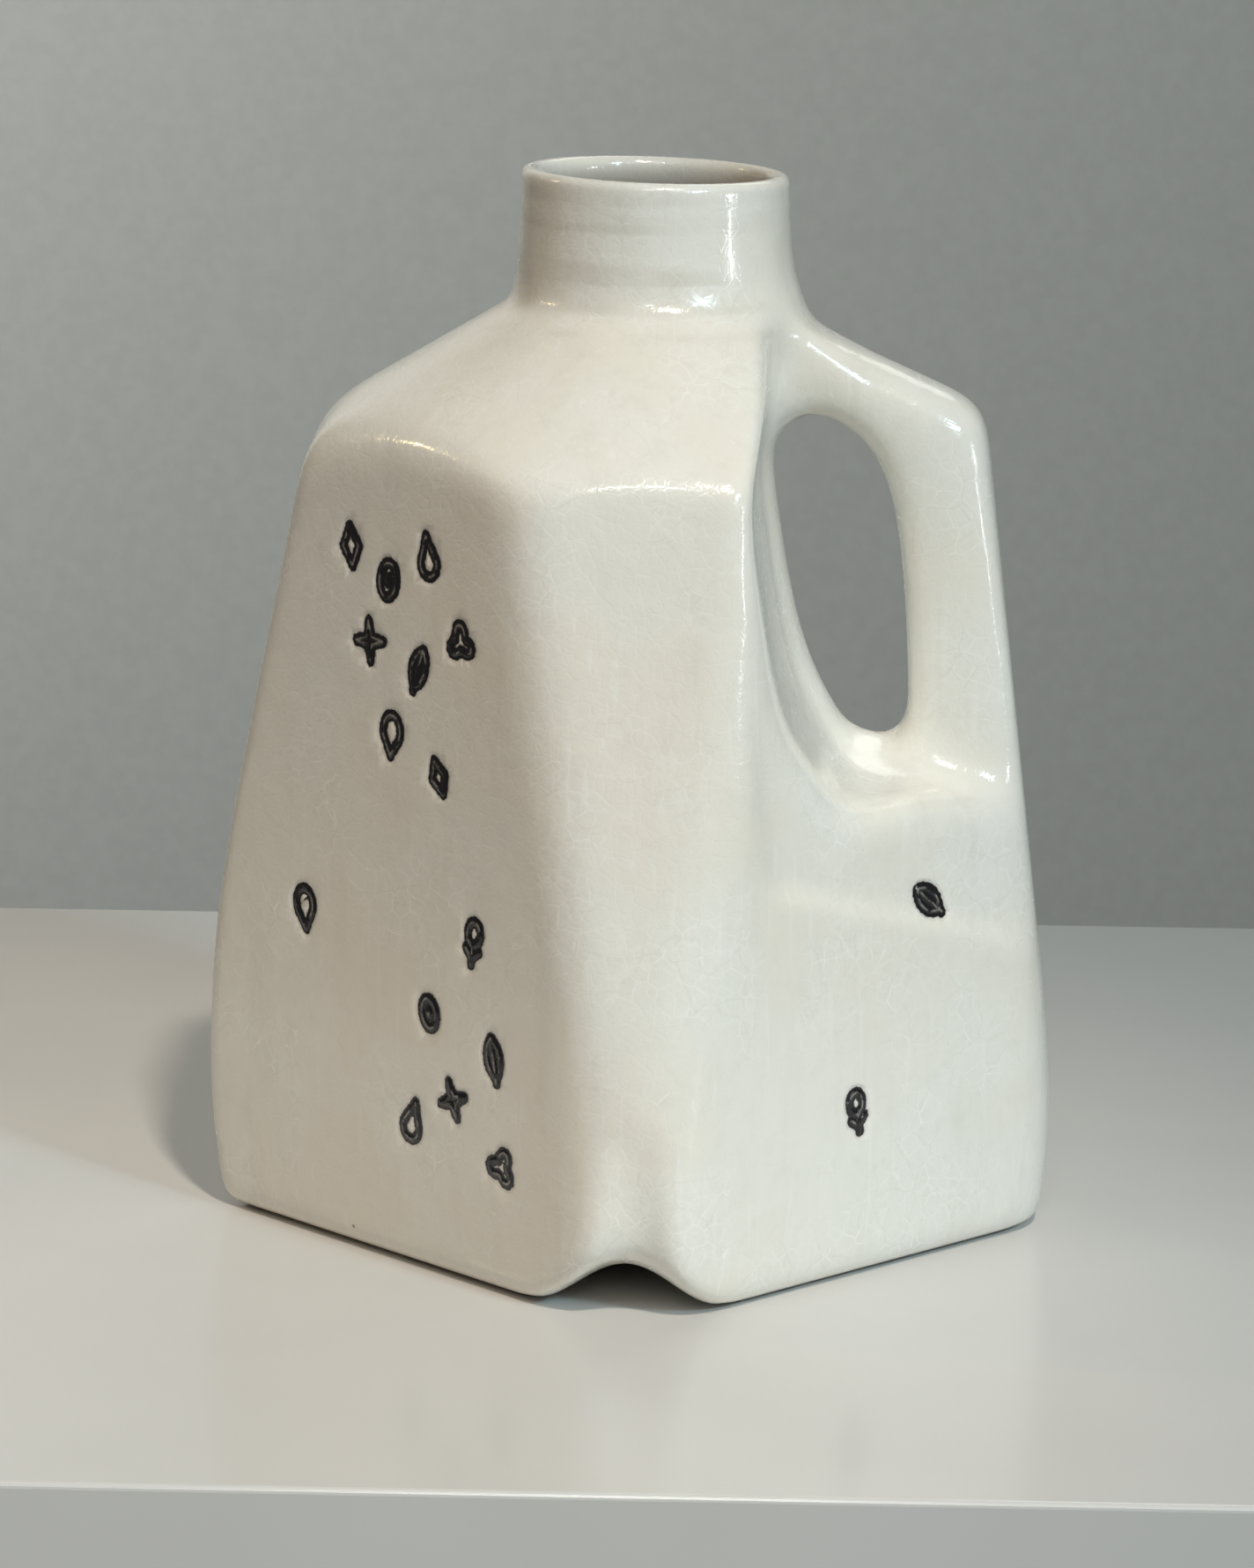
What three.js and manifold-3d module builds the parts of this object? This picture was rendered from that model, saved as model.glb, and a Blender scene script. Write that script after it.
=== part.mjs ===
// Porcelain milk jug: a four-sided hollow body with a moulded-in handle, a round neck and an open mouth.
// Millimetres, +Z up. The origin is the middle of the footprint, on the base. The handle is toward +X
// and the notched corners are toward -Y and +Y. The two sides of the XZ plane are mirror images.
import * as THREE from 'three';
import { mergeVertices } from 'three/addons/utils/BufferGeometryUtils.js';
import Module from 'manifold-3d';

const HEIGHT = 220;
const WALL = 3.8;
const AXIS_X = 3.7; // the body and the neck share this axis

// The four upright panels: how far each stands from the axis, and how that changes with height.
const PANEL_OUT = 66.2;
const PANEL_WIDEST_Z = 37;
const PANEL_TAPER = 0.0143;
const FOOT_TUCK = 2.4;
const CORNER_RADIUS = 4;
const BASE_BLEND = 9;

// The leaning faces that cut the four corners: distance from the axis low down, the height where
// each starts to lean, how gradually it starts, how far it leans per millimetre, and its edge blend.
// Below CORNER_TUCK_Z they are tucked in toward the base.
const CORNER_TUCK = 1.8;
const CORNER_TUCK_Z = 30;
const SIDE_CORNER = { out: 86, from: 40, ease: 40, lean: 0.158, blend: 9 };
const FAR_CORNER = { out: 92.9, from: 56, ease: 60, lean: 0.213, blend: 3 };
const HANDLE_CORNER = { out: 84.2, from: 34, ease: 30, lean: 0.1185, blend: 8 };

// The shoulder, by direction from the axis: height where it meets the neck, slope and edge blend.
const SHOULDER_SIDE = { top: 193.5, slope: 0.755, blend: 5 };
const SHOULDER_FAR = { top: 192.4, slope: 0.588, blend: 11.5 };
const SHOULDER_HANDLE = { top: 189.2, slope: 0.45, blend: 9.5 };

// The neck and its rim, which dips a little toward the handle. Below NECK_FOOT_Z the neck closes to a
// point inside the body. Its blend with the shoulder differs toward the sides, the far corner and
// the handle.
const NECK_FOOT_RADIUS = 29.6;
const RIM_RADIUS = 27.3;
const RIM_DIP = 0.027;
const LIP_ROUND = 1.6;
const FLARE = 1.6;
const FLARE_HEIGHT = 24;
const NECK_FOOT_Z = 191;
const NECK_FOOT_SLOPE = 0.9;
const NECK_FOOT_BLEND = 6;
const NECK_BLEND_SIDE = 7;
const NECK_BLEND_FAR = 6;
const NECK_BLEND_HANDLE = 18;
const NECK_SIDES = 48;

// The moulded foot of the neck narrows out of sight inside the turned part, and the turned part
// narrows inside the foot, so that the two cross cleanly at the seam.
const SEAM_Z = 204;
const SEAM_NARROWING = 0.4;
const SEAM_OVERLAP = 4.5;

// The notches under the two side corners, joined by a channel across the base, and the furrow that
// runs up the corner above each.
const NOTCH_X = 1.7;
const NOTCH_HEIGHT = 14.6;
const NOTCH_SLOPE = 0.95;
const NOTCH_PEAK_RADIUS = 8;
const NOTCH_BLEND = 7;
const CHANNEL_HEIGHT = 3;
const CHANNEL_REACH = 40;
const NOTCH_REACH = 44;
const FURROW_X = 4.4;
const FURROW_RADIUS = 7;
const FURROW_LOW = { y: 87.5, z: 8 };
const FURROW_HIGH = { y: 92.3, z: 34 };

// The panels beside the handle are set back above a sloping ledge and beyond an upright crease.
const SET_BACK = 1.4;
const SET_BACK_TOP = 140;
const SET_BACK_FADE = 35;
const SET_BACK_BLEND = 4;
const SET_BACK_CORNER_BLEND = 6;
const LEDGE = { x: 31.5, z: 84, fall: 0.405 };
const CREASE = { x: 26.2, z: 116, lean: 0.12 };

// The grip is pinched in from both sides behind the body and holed through. Seen from the side its
// outline goes down the body and along the floor, then up the handle and back over the top. Draft
// is how far each of the first sides opens out per millimetre away from the middle.
const GRIP_BODY_SIDE = [
  { x: 27.3, z: 200, draft: 0 },
  { x: 27.3, z: 163, draft: 0.02 },
  { x: 33.4, z: 127, draft: 0.05 },
  { x: 38.2, z: 114.3, draft: 0.055 },
  { x: 44.2, z: 105.2, draft: 0.12 },
  { x: 60, z: 100.4, draft: 0 },
];
const GRIP_HANDLE_SIDE = [
  { x: 52.5, z: 101, draft: 0 },
  { x: 57.6, z: 107.5, draft: 0 },
  { x: 57.5, z: 117, draft: 0 },
  { x: 55.6, z: 143, draft: 0 },
  { x: 52.4, z: 157, draft: 0 },
  { x: 47.4, z: 165.4, draft: 0 },
  { x: 41.5, z: 169.6, draft: 0 },
  { x: 36, z: 171, draft: 0 },
  { x: 31, z: 168.8, draft: 0 },
  { x: 27, z: 163, draft: 0 },
];
const HANDLE_HALF_THICKNESS = 13.2;
const GRIP_CORNER_BLEND = 4;
const GRIP_VALLEY_BLEND = 12;
const HANDLE_INNER_BLEND = 15;
const GRIP_EDGE_BLEND = 9;

// The handle is cast solid: the hollow inside stops short of it, beyond this x and above this height.
const SOLID_FROM_X = 31.5;
const SOLID_FROM_Z = 93;
const HOLLOW_END_BLEND = 6;

// The mesh: stops along each axis and the cell size wanted between them. Then each edge whose middle
// stands off the surface by more than the flatness is split, down to the shortest length.
const OUTSIDE_MESH = {
  x: [[-94, 10.5], [22, 6.2], [92]],
  y: [[-92, 9.5], [-16, 5.3], [16, 9.5], [92]],
  z: [[-6, 6], [12, 14], [90, 8], [162, 6.5], [214]],
  flatness: 0.15,
  shortest: 3.2,
};
const INSIDE_MESH = {
  x: [[-90, 12], [90]],
  y: [[-88, 12], [88]],
  z: [[-4, 12], [84, 9], [214]],
  flatness: 0.5,
  shortest: 6,
};
const SPLITTING_ROUNDS = 4;

function clamp(value, low, high) {
  return Math.min(Math.max(value, low), high);
}

// Lesser and greater of two distances, with the crease between them rounded over a width.
function smoothMin(a, b, width) {
  const h = Math.max(width - Math.abs(a - b), 0) / width;
  return Math.min(a, b) - (h * h * h * width) / 6;
}

function smoothMax(a, b, width) {
  return -smoothMin(-a, -b, width);
}

// The form is built from distances that are negative inside and positive outside. Here x is
// measured from the axis, except where a name says otherwise.

function panelOut(z) {
  return PANEL_OUT - PANEL_TAPER * Math.max(z - PANEL_WIDEST_Z, 0);
}

function fourPanels(x, y, z) {
  const tuck = FOOT_TUCK * clamp((PANEL_WIDEST_Z - z) / PANEL_WIDEST_Z, 0, 1.5) ** 2;
  const flat = panelOut(z) - tuck - CORNER_RADIUS;
  const u = Math.abs(x + y) / Math.SQRT2 - flat;
  const v = Math.abs(x - y) / Math.SQRT2 - flat;
  const beyond = Math.hypot(Math.max(u, 0), Math.max(v, 0));
  return beyond + Math.min(Math.max(u, v), 0) - CORNER_RADIUS;
}

function cornerFace(out, z, corner) {
  const lean = corner.lean * smoothMax(z - corner.from, 0, corner.ease);
  const tuck = CORNER_TUCK * clamp((CORNER_TUCK_Z - z) / CORNER_TUCK_Z, 0, 1.5) ** 2;
  return out - corner.out + lean + tuck;
}

function body(x, y, z) {
  let d = fourPanels(x, y, z);
  d = smoothMax(d, cornerFace(Math.abs(y), z, SIDE_CORNER), SIDE_CORNER.blend);
  d = smoothMax(d, cornerFace(-x, z, FAR_CORNER), FAR_CORNER.blend);
  d = smoothMax(d, cornerFace(x, z, HANDLE_CORNER), HANDLE_CORNER.blend);
  const radius = Math.max(Math.hypot(x, y), 1e-6);
  const toHandle = Math.max(x / radius, 0) ** 2;
  const toFar = Math.max(-x / radius, 0) ** 2;
  const toSide = 1 - toHandle - toFar;
  const mix = (key) => SHOULDER_SIDE[key] * toSide
    + SHOULDER_HANDLE[key] * toHandle + SHOULDER_FAR[key] * toFar;
  const slope = mix('slope');
  const rise = z - mix('top') + slope * (radius - NECK_FOOT_RADIUS);
  d = smoothMax(d, rise / Math.hypot(1, slope), mix('blend'));
  return smoothMax(d, -z, BASE_BLEND);
}

function notch(x, y, z) {
  const reach = clamp((Math.abs(y) - CHANNEL_REACH) / NOTCH_REACH, 0, 1.3) ** 1.5;
  const height = CHANNEL_HEIGHT + (NOTCH_HEIGHT - CHANNEL_HEIGHT) * reach;
  const aside = Math.hypot(x + AXIS_X - NOTCH_X, NOTCH_PEAK_RADIUS) - NOTCH_PEAK_RADIUS;
  return (z - height + NOTCH_SLOPE * aside) / Math.hypot(1, NOTCH_SLOPE);
}

function furrow(x, y, z) {
  const dy = FURROW_HIGH.y - FURROW_LOW.y;
  const dz = FURROW_HIGH.z - FURROW_LOW.z;
  const py = Math.abs(y) - FURROW_LOW.y;
  const pz = z - FURROW_LOW.z;
  const along = Math.min((py * dy + pz * dz) / (dy * dy + dz * dz), 1);
  return Math.hypot(x + AXIS_X - FURROW_X, py - along * dy, pz - along * dz) - FURROW_RADIUS;
}

function setBack(x, y, z) {
  const depth = SET_BACK * clamp((SET_BACK_TOP - z) / SET_BACK_FADE, 0, 1);
  const underLedge = LEDGE.z - LEDGE.fall * (x + AXIS_X - LEDGE.x) - z;
  const beforeCrease = CREASE.x + CREASE.lean * (CREASE.z - z) - (x + AXIS_X);
  const outline = smoothMax(underLedge, beforeCrease, SET_BACK_CORNER_BLEND);
  const behind = panelOut(z) - depth - (x + Math.abs(y)) / Math.SQRT2;
  return smoothMax(outline, behind, SET_BACK_BLEND);
}

function gripOutline(x, z, away, corners, width) {
  let d = -Infinity;
  for (let i = 0; i + 1 < corners.length; i += 1) {
    const dx = corners[i + 1].x - corners[i].x;
    const dz = corners[i + 1].z - corners[i].z;
    const off = ((x - corners[i].x) * dz - (z - corners[i].z) * dx) / Math.hypot(dx, dz);
    const side = off - corners[i].draft * away;
    d = i === 0 ? side : smoothMax(d, side, width);
  }
  return d;
}

function grip(x, y, z) {
  const away = Math.abs(y);
  const bodySide = gripOutline(x + AXIS_X, z, away, GRIP_BODY_SIDE, GRIP_CORNER_BLEND);
  const handleSide = gripOutline(x + AXIS_X, z, away, GRIP_HANDLE_SIDE, GRIP_CORNER_BLEND + 1);
  const pinched = smoothMax(bodySide, HANDLE_HALF_THICKNESS - away, GRIP_VALLEY_BLEND);
  const holed = smoothMax(bodySide, handleSide, GRIP_CORNER_BLEND + 3);
  return smoothMin(pinched, holed, HANDLE_INNER_BLEND);
}

function neckRadius(z) {
  const below = Math.max(HEIGHT - 2 - z, 0) / FLARE_HEIGHT;
  return RIM_RADIUS + FLARE * Math.min(below, 2) ** 2;
}

// The whole outside, with the neck going on upward past the rim. Here x is measured from the origin.
function outside(fromOrigin, y, z) {
  const x = fromOrigin - AXIS_X;
  let d = body(x, y, z);
  d = smoothMax(d, -smoothMin(notch(x, y, z), furrow(x, y, z), NOTCH_BLEND + 1), NOTCH_BLEND);
  d = smoothMax(d, -setBack(x, y, z), SET_BACK_BLEND);
  d = smoothMax(d, -grip(x, y, z), GRIP_EDGE_BLEND);
  const radius = Math.max(Math.hypot(x, y), 1e-6);
  const closing = NECK_FOOT_SLOPE * smoothMax(NECK_FOOT_Z - z, 0, NECK_FOOT_BLEND);
  const toward = x > 0 ? NECK_BLEND_HANDLE : NECK_BLEND_FAR;
  const blend = NECK_BLEND_SIDE + (toward - NECK_BLEND_SIDE) * (x / radius) ** 2;
  return smoothMin(d, radius - neckRadius(z) + closing, blend);
}

// The hollow inside, with the bore going on upward too.
function hollow(x, y, z) {
  const handle = smoothMin(x - SOLID_FROM_X, z - SOLID_FROM_Z, HOLLOW_END_BLEND);
  return smoothMax(outside(x, y, z) + WALL, handle, HOLLOW_END_BLEND);
}

// Grid lines from stops, evenly spread between each two.
function gridLines(stops) {
  const lines = [stops[0][0]];
  for (let i = 0; i + 1 < stops.length; i += 1) {
    const [start, size] = stops[i];
    const end = stops[i + 1][0];
    const count = Math.round((end - start) / size);
    for (let k = 1; k <= count; k += 1) {
      lines.push(start + ((end - start) * k) / count);
    }
  }
  return lines;
}

// Moves a point along the slope of a distance until the distance is nought.
function settle(field, point) {
  const h = 0.02;
  for (let step = 0; step < 8; step += 1) {
    const [x, y, z] = point;
    const d = field(x, y, z);
    const gx = (field(x + h, y, z) - field(x - h, y, z)) / (2 * h);
    const gy = (field(x, y + h, z) - field(x, y - h, z)) / (2 * h);
    const gz = (field(x, y, z + h) - field(x, y, z - h)) / (2 * h);
    const k = (0.9 * d) / Math.max(gx * gx + gy * gy + gz * gz, 0.1);
    point[0] -= k * gx;
    point[1] -= k * gy;
    point[2] -= k * gz;
  }
  return point;
}

// Splits the edges that stand off the surface. A face with split edges becomes a fan from the middle
// of one of them, or four faces where all three are split.
function refine(field, positions, faces, mesh) {
  const middles = new Map();
  const middleOf = (a, b) => {
    const key = `${Math.min(a, b)} ${Math.max(a, b)}`;
    if (!middles.has(key)) {
      const start = new THREE.Vector3().fromArray(positions, 3 * a);
      const end = new THREE.Vector3().fromArray(positions, 3 * b);
      const middle = start.clone().lerp(end, 0.5);
      const stands = Math.abs(field(...middle)) > mesh.flatness;
      let vertex = -1;
      if (stands && start.distanceTo(end) > 2 * mesh.shortest) {
        vertex = positions.length / 3;
        positions.push(...settle(field, middle.toArray()));
      }
      middles.set(key, vertex);
    }
    return middles.get(key);
  };
  const split = [];
  for (let i = 0; i < faces.length; i += 3) {
    const [a, b, c] = faces.slice(i, i + 3);
    const [ab, bc, ca] = [middleOf(a, b), middleOf(b, c), middleOf(c, a)];
    if (Math.min(ab, bc, ca) >= 0) {
      split.push(a, ab, ca, ab, b, bc, ca, bc, c, ab, bc, ca);
    } else {
      const ring = [a, ab, b, bc, c, ca].filter((v) => v >= 0);
      const hub = Math.max(0, ring.indexOf(Math.max(ab, bc, ca)));
      for (let k = 1; k + 1 < ring.length; k += 1) {
        split.push(ring[hub], ring[(hub + k) % ring.length], ring[(hub + k + 1) % ring.length]);
      }
    }
  }
  return split;
}

// A closed mesh of the surface where a distance is nought: one vertex in each grid cell that the
// surface passes through, and one four-sided face round each grid edge that it crosses.
function surfaceOf(field, grid) {
  const lines = [gridLines(grid.x), gridLines(grid.y), gridLines(grid.z)];
  const size = lines.map((line) => line.length);
  const index = (i, j, k) => (i * size[1] + j) * size[2] + k;
  const values = new Float64Array(size[0] * size[1] * size[2]);
  lines[0].forEach((x, i) => lines[1].forEach((y, j) => lines[2].forEach((z, k) => {
    values[index(i, j, k)] = field(x, y, z);
  })));

  const vertexOf = new Map();
  const positions = [];
  const cellVertex = (cell) => {
    const key = index(...cell);
    if (vertexOf.has(key)) {
      return vertexOf.get(key);
    }
    const sum = [0, 0, 0];
    let crossings = 0;
    for (let edge = 0; edge < 12; edge += 1) {
      const axis = edge >> 2;
      const start = [...cell];
      start[(axis + 1) % 3] += edge & 1;
      start[(axis + 2) % 3] += (edge >> 1) & 1;
      const end = [...start];
      end[axis] += 1;
      const a = values[index(...start)];
      const b = values[index(...end)];
      if (a < 0 !== b < 0) {
        const t = a / (a - b);
        for (let n = 0; n < 3; n += 1) {
          const from = lines[n][start[n]];
          sum[n] += from + t * (lines[n][end[n]] - from);
        }
        crossings += 1;
      }
    }
    const vertex = positions.length / 3;
    positions.push(...settle(field, sum.map((s) => s / crossings)));
    vertexOf.set(key, vertex);
    return vertex;
  };

  let faces = [];
  const diagonals = new Set();
  const diagonal = (v, w) => `${Math.min(v, w)} ${Math.max(v, w)}`;
  const corner = (v) => new THREE.Vector3().fromArray(positions, 3 * v);
  for (let axis = 0; axis < 3; axis += 1) {
    const across = (axis + 1) % 3;
    const upward = (axis + 2) % 3;
    const at = [0, 0, 0];
    for (at[axis] = 0; at[axis] + 1 < size[axis]; at[axis] += 1) {
      for (at[across] = 1; at[across] + 1 < size[across]; at[across] += 1) {
        for (at[upward] = 1; at[upward] + 1 < size[upward]; at[upward] += 1) {
          const end = [...at];
          end[axis] += 1;
          const inside = values[index(...at)] < 0;
          if (inside !== values[index(...end)] < 0) {
            const ring = [[1, 1], [0, 1], [0, 0], [1, 0]].map(([s, t]) => {
              const cell = [...at];
              cell[across] -= s;
              cell[upward] -= t;
              return cellVertex(cell);
            });
            if (!inside) {
              ring.reverse();
            }
            const [a, b, c, d] = ring;
            const shorter = corner(a).distanceTo(corner(c)) < corner(b).distanceTo(corner(d));
            if (diagonals.has(diagonal(b, d)) || (shorter && !diagonals.has(diagonal(a, c)))) {
              diagonals.add(diagonal(a, c));
              faces.push(a, b, c, a, c, d);
            } else {
              diagonals.add(diagonal(b, d));
              faces.push(b, c, d, b, d, a);
            }
          }
        }
      }
    }
  }
  for (let round = 0; round < SPLITTING_ROUNDS; round += 1) {
    faces = refine(field, positions, faces, grid);
  }
  const geometry = new THREE.BufferGeometry();
  geometry.setAttribute('position', new THREE.Float32BufferAttribute(positions, 3));
  geometry.setIndex(faces);
  return geometry;
}

// The turned part of the neck, solid. Inset by the wall it is the bore, which flares at the rim where
// the neck itself is rounded in, and goes on above it. The rim dips toward the handle.
function turnedNeck(inset, lip, above) {
  const low = SEAM_Z - SEAM_OVERLAP;
  const profile = [new THREE.Vector2(0, low)];
  const rings = 3;
  for (let ring = 0; ring <= rings; ring += 1) {
    const z = low + ((HEIGHT - LIP_ROUND - low) * ring) / rings;
    const narrowing = SEAM_NARROWING * Math.max(SEAM_Z + 1 - z, 0);
    profile.push(new THREE.Vector2(neckRadius(z) - inset - narrowing, z));
  }
  const steps = 3;
  for (let step = 1; step <= steps; step += 1) {
    const turn = (step * Math.PI) / 2 / steps;
    const radius = RIM_RADIUS - inset - lip * (1 - Math.cos(turn));
    profile.push(new THREE.Vector2(radius, HEIGHT - LIP_ROUND * (1 - Math.sin(turn))));
  }
  if (above > 0) {
    profile.push(new THREE.Vector2(RIM_RADIUS - inset - lip, HEIGHT + above));
  }
  profile.push(new THREE.Vector2(0, HEIGHT + above));
  const geometry = new THREE.LatheGeometry(profile, NECK_SIDES);
  geometry.rotateX(Math.PI / 2);
  const position = geometry.attributes.position;
  for (let i = 0; i < position.count; i += 1) {
    const share = clamp((position.getZ(i) - SEAM_Z) / (HEIGHT - SEAM_Z), 0, 1);
    const dip = RIM_DIP * (position.getX(i) + RIM_RADIUS);
    position.setZ(i, position.getZ(i) - share * dip);
  }
  geometry.translate(AXIS_X, 0, 0);
  return geometry;
}

const wasm = await Module();
wasm.setup();

function toSolid(geometry) {
  const bare = geometry.clone();
  bare.deleteAttribute('normal');
  bare.deleteAttribute('uv');
  const merged = mergeVertices(bare, 1e-5);
  return new wasm.Manifold(new wasm.Mesh({
    numProp: 3,
    vertProperties: new Float32Array(merged.attributes.position.array),
    triVerts: new Uint32Array(merged.index.array),
  }));
}

function toGeometry(solid) {
  const mesh = solid.getMesh();
  const geometry = new THREE.BufferGeometry();
  geometry.setAttribute('position', new THREE.Float32BufferAttribute(mesh.vertProperties, 3));
  geometry.setIndex(new THREE.Uint32BufferAttribute(mesh.triVerts, 1));
  geometry.computeVertexNormals();
  return geometry;
}

// The moulded part of a form: all of it below the seam.
function moulded(form) {
  return (x, y, z) => {
    const narrowing = SEAM_NARROWING * Math.max(z - SEAM_Z + 1, 0);
    return Math.max(form(x, y, z) + narrowing, z - SEAM_Z - SEAM_OVERLAP);
  };
}

const outer = toSolid(surfaceOf(moulded(outside), OUTSIDE_MESH))
  .add(toSolid(turnedNeck(0, LIP_ROUND, 0)));
const inner = toSolid(surfaceOf(moulded(hollow), INSIDE_MESH))
  .add(toSolid(turnedNeck(WALL, -LIP_ROUND, 4)));

const jug = new THREE.Mesh(
  toGeometry(outer.subtract(inner)),
  new THREE.MeshStandardMaterial({ color: 0xd9d5c9, roughness: 0.22, metalness: 0 }),
);
jug.name = 'jug';

const object = new THREE.Group();
object.add(jug);
export default object;
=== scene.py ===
"""A porcelain milk jug, glazed and crackled, with small stamped ink marks, on a pale glossy shelf."""
import math

import bpy
import numpy as np
from mathutils import Matrix, Vector


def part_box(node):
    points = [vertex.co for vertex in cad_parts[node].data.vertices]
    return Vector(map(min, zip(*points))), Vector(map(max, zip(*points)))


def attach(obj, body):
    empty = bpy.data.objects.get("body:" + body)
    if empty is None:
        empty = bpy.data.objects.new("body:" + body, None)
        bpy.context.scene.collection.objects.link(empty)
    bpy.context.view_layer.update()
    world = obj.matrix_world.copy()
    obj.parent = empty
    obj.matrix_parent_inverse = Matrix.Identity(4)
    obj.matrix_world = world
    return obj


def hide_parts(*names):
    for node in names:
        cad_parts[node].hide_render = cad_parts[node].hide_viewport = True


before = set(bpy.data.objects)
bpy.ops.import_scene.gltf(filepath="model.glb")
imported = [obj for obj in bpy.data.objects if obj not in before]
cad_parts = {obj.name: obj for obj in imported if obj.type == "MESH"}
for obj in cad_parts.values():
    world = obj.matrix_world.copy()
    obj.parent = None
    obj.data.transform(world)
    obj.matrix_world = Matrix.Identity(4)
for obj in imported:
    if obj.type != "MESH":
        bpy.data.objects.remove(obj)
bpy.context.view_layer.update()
MM = 0.001
ROOT2 = math.sqrt(2)

# The form, in millimetres: the dimensions of the solid that the mesh stands for, with the neck's
# foot, the furrows and the edge of the hand hole tuned a little for looks.
HEIGHT, WALL, AXIS_X = 220, 3.8, 3.7
PANEL_OUT, PANEL_WIDEST_Z, PANEL_TAPER = 66.2, 37, 0.0143
FOOT_TUCK, CORNER_RADIUS, BASE_BLEND = 2.4, 4, 9
CORNER_TUCK, CORNER_TUCK_Z = 1.8, 30
SIDE_CORNER = dict(out=86, start=40, ease=40, lean=0.158, blend=9)
FAR_CORNER = dict(out=92.9, start=56, ease=60, lean=0.213, blend=3)
HANDLE_CORNER = dict(out=84.2, start=34, ease=30, lean=0.1185, blend=8)
SHOULDER_SIDE = dict(top=193.5, slope=0.755, blend=5)
SHOULDER_FAR = dict(top=192.4, slope=0.588, blend=11.5)
SHOULDER_HANDLE = dict(top=189.2, slope=0.45, blend=9.5)
NECK_FOOT_RADIUS, RIM_RADIUS, RIM_DIP, LIP_ROUND = 29.6, 27.3, 0.027, 3.5
FLARE, FLARE_HEIGHT, NECK_STRAIGHT = 1.6, 24, 2
NECK_FOOT_Z, NECK_FOOT_SLOPE, NECK_FOOT_BLEND = 191, 0.9, 6
NECK_BLEND_SIDE, NECK_BLEND_FAR, NECK_BLEND_HANDLE = 4.5, 4.5, 16
NOTCH_X, NOTCH_HEIGHT, NOTCH_SLOPE, NOTCH_PEAK_RADIUS, NOTCH_BLEND = 1.7, 14.6, 0.95, 8, 7
CHANNEL_HEIGHT, CHANNEL_REACH, NOTCH_REACH, NOTCH_FURROW_BLEND = 3, 40, 44, 8
FURROW_X, FURROW_RADIUS, FURROW_LOW, FURROW_HIGH = 4.4, 8, (87.5, 8), (92.6, 33)
SET_BACK, SET_BACK_TOP, SET_BACK_FADE, SET_BACK_BLEND = 1.4, 140, 35, 4
SET_BACK_CORNER_BLEND = 6
LEDGE = dict(x=31.5, z=84, fall=0.405)
CREASE = dict(x=26.2, z=116, lean=0.12)
# The hand hole's two sides, upwards or downwards: x, z and how much the side from there on drafts.
GRIP_BODY_SIDE = [
    (27.3, 200, 0), (27.3, 163, 0.02), (33.4, 127, 0.05),
    (38.2, 114.3, 0.055), (44.2, 105.2, 0.12), (60, 100.4, 0),
]
GRIP_HANDLE_SIDE = [
    (52.5, 101, 0), (57.6, 107.5, 0), (57.5, 117, 0), (55.6, 143, 0),
    (52.4, 157, 0), (47.4, 165.4, 0), (41.5, 169.6, 0), (36, 171, 0), (31, 168.8, 0), (27, 163, 0),
]
HANDLE_HALF_THICKNESS, GRIP_VALLEY_BLEND, GRIP_OUTLINE_BLEND = 13.2, 12, 7
GRIP_BODY_CORNER_BLEND, GRIP_HANDLE_CORNER_BLEND, HANDLE_INNER_BLEND = 4, 5, 15
# The recess's edge is softer at the handle and crisper at the body, more so higher up.
GRIP_EDGE_BLEND, GRIP_EDGE_AT_BODY, GRIP_EDGE_AT_HANDLE = 9, -3.5, 6
GRIP_EDGE_FROM_Z, GRIP_EDGE_RISE, GRIP_EDGE_FROM_X, GRIP_EDGE_REACH = 118, 45, 36, 12
SOLID_FROM_X, SOLID_FROM_Z, HOLLOW_END_BLEND = 31.5, 93, 6


def smooth_min(a, b, k):
    """The lesser of two distances, with the join rounded over k millimetres."""
    h = np.maximum(k - np.abs(a - b), 0) / k
    return np.minimum(a, b) - h * h * h * k / 6


def smooth_max(a, b, k):
    return -smooth_min(-a, -b, k)


def panel_out(z):
    """How far out the four flat panels are at a height."""
    tuck = np.clip((PANEL_WIDEST_Z - z) / PANEL_WIDEST_Z, 0, 1.5) ** 2
    return PANEL_OUT - PANEL_TAPER * np.maximum(z - PANEL_WIDEST_Z, 0) - FOOT_TUCK * tuck


def corner_face(out, z, face):
    """Signed distance to a corner's face, which leans in above a soft start."""
    above = smooth_max(z - face["start"], 0 * z, face["ease"])
    tuck = np.clip((CORNER_TUCK_Z - z) / CORNER_TUCK_Z, 0, 1.5) ** 2
    return out - face["out"] + face["lean"] * above + CORNER_TUCK * tuck


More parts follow.
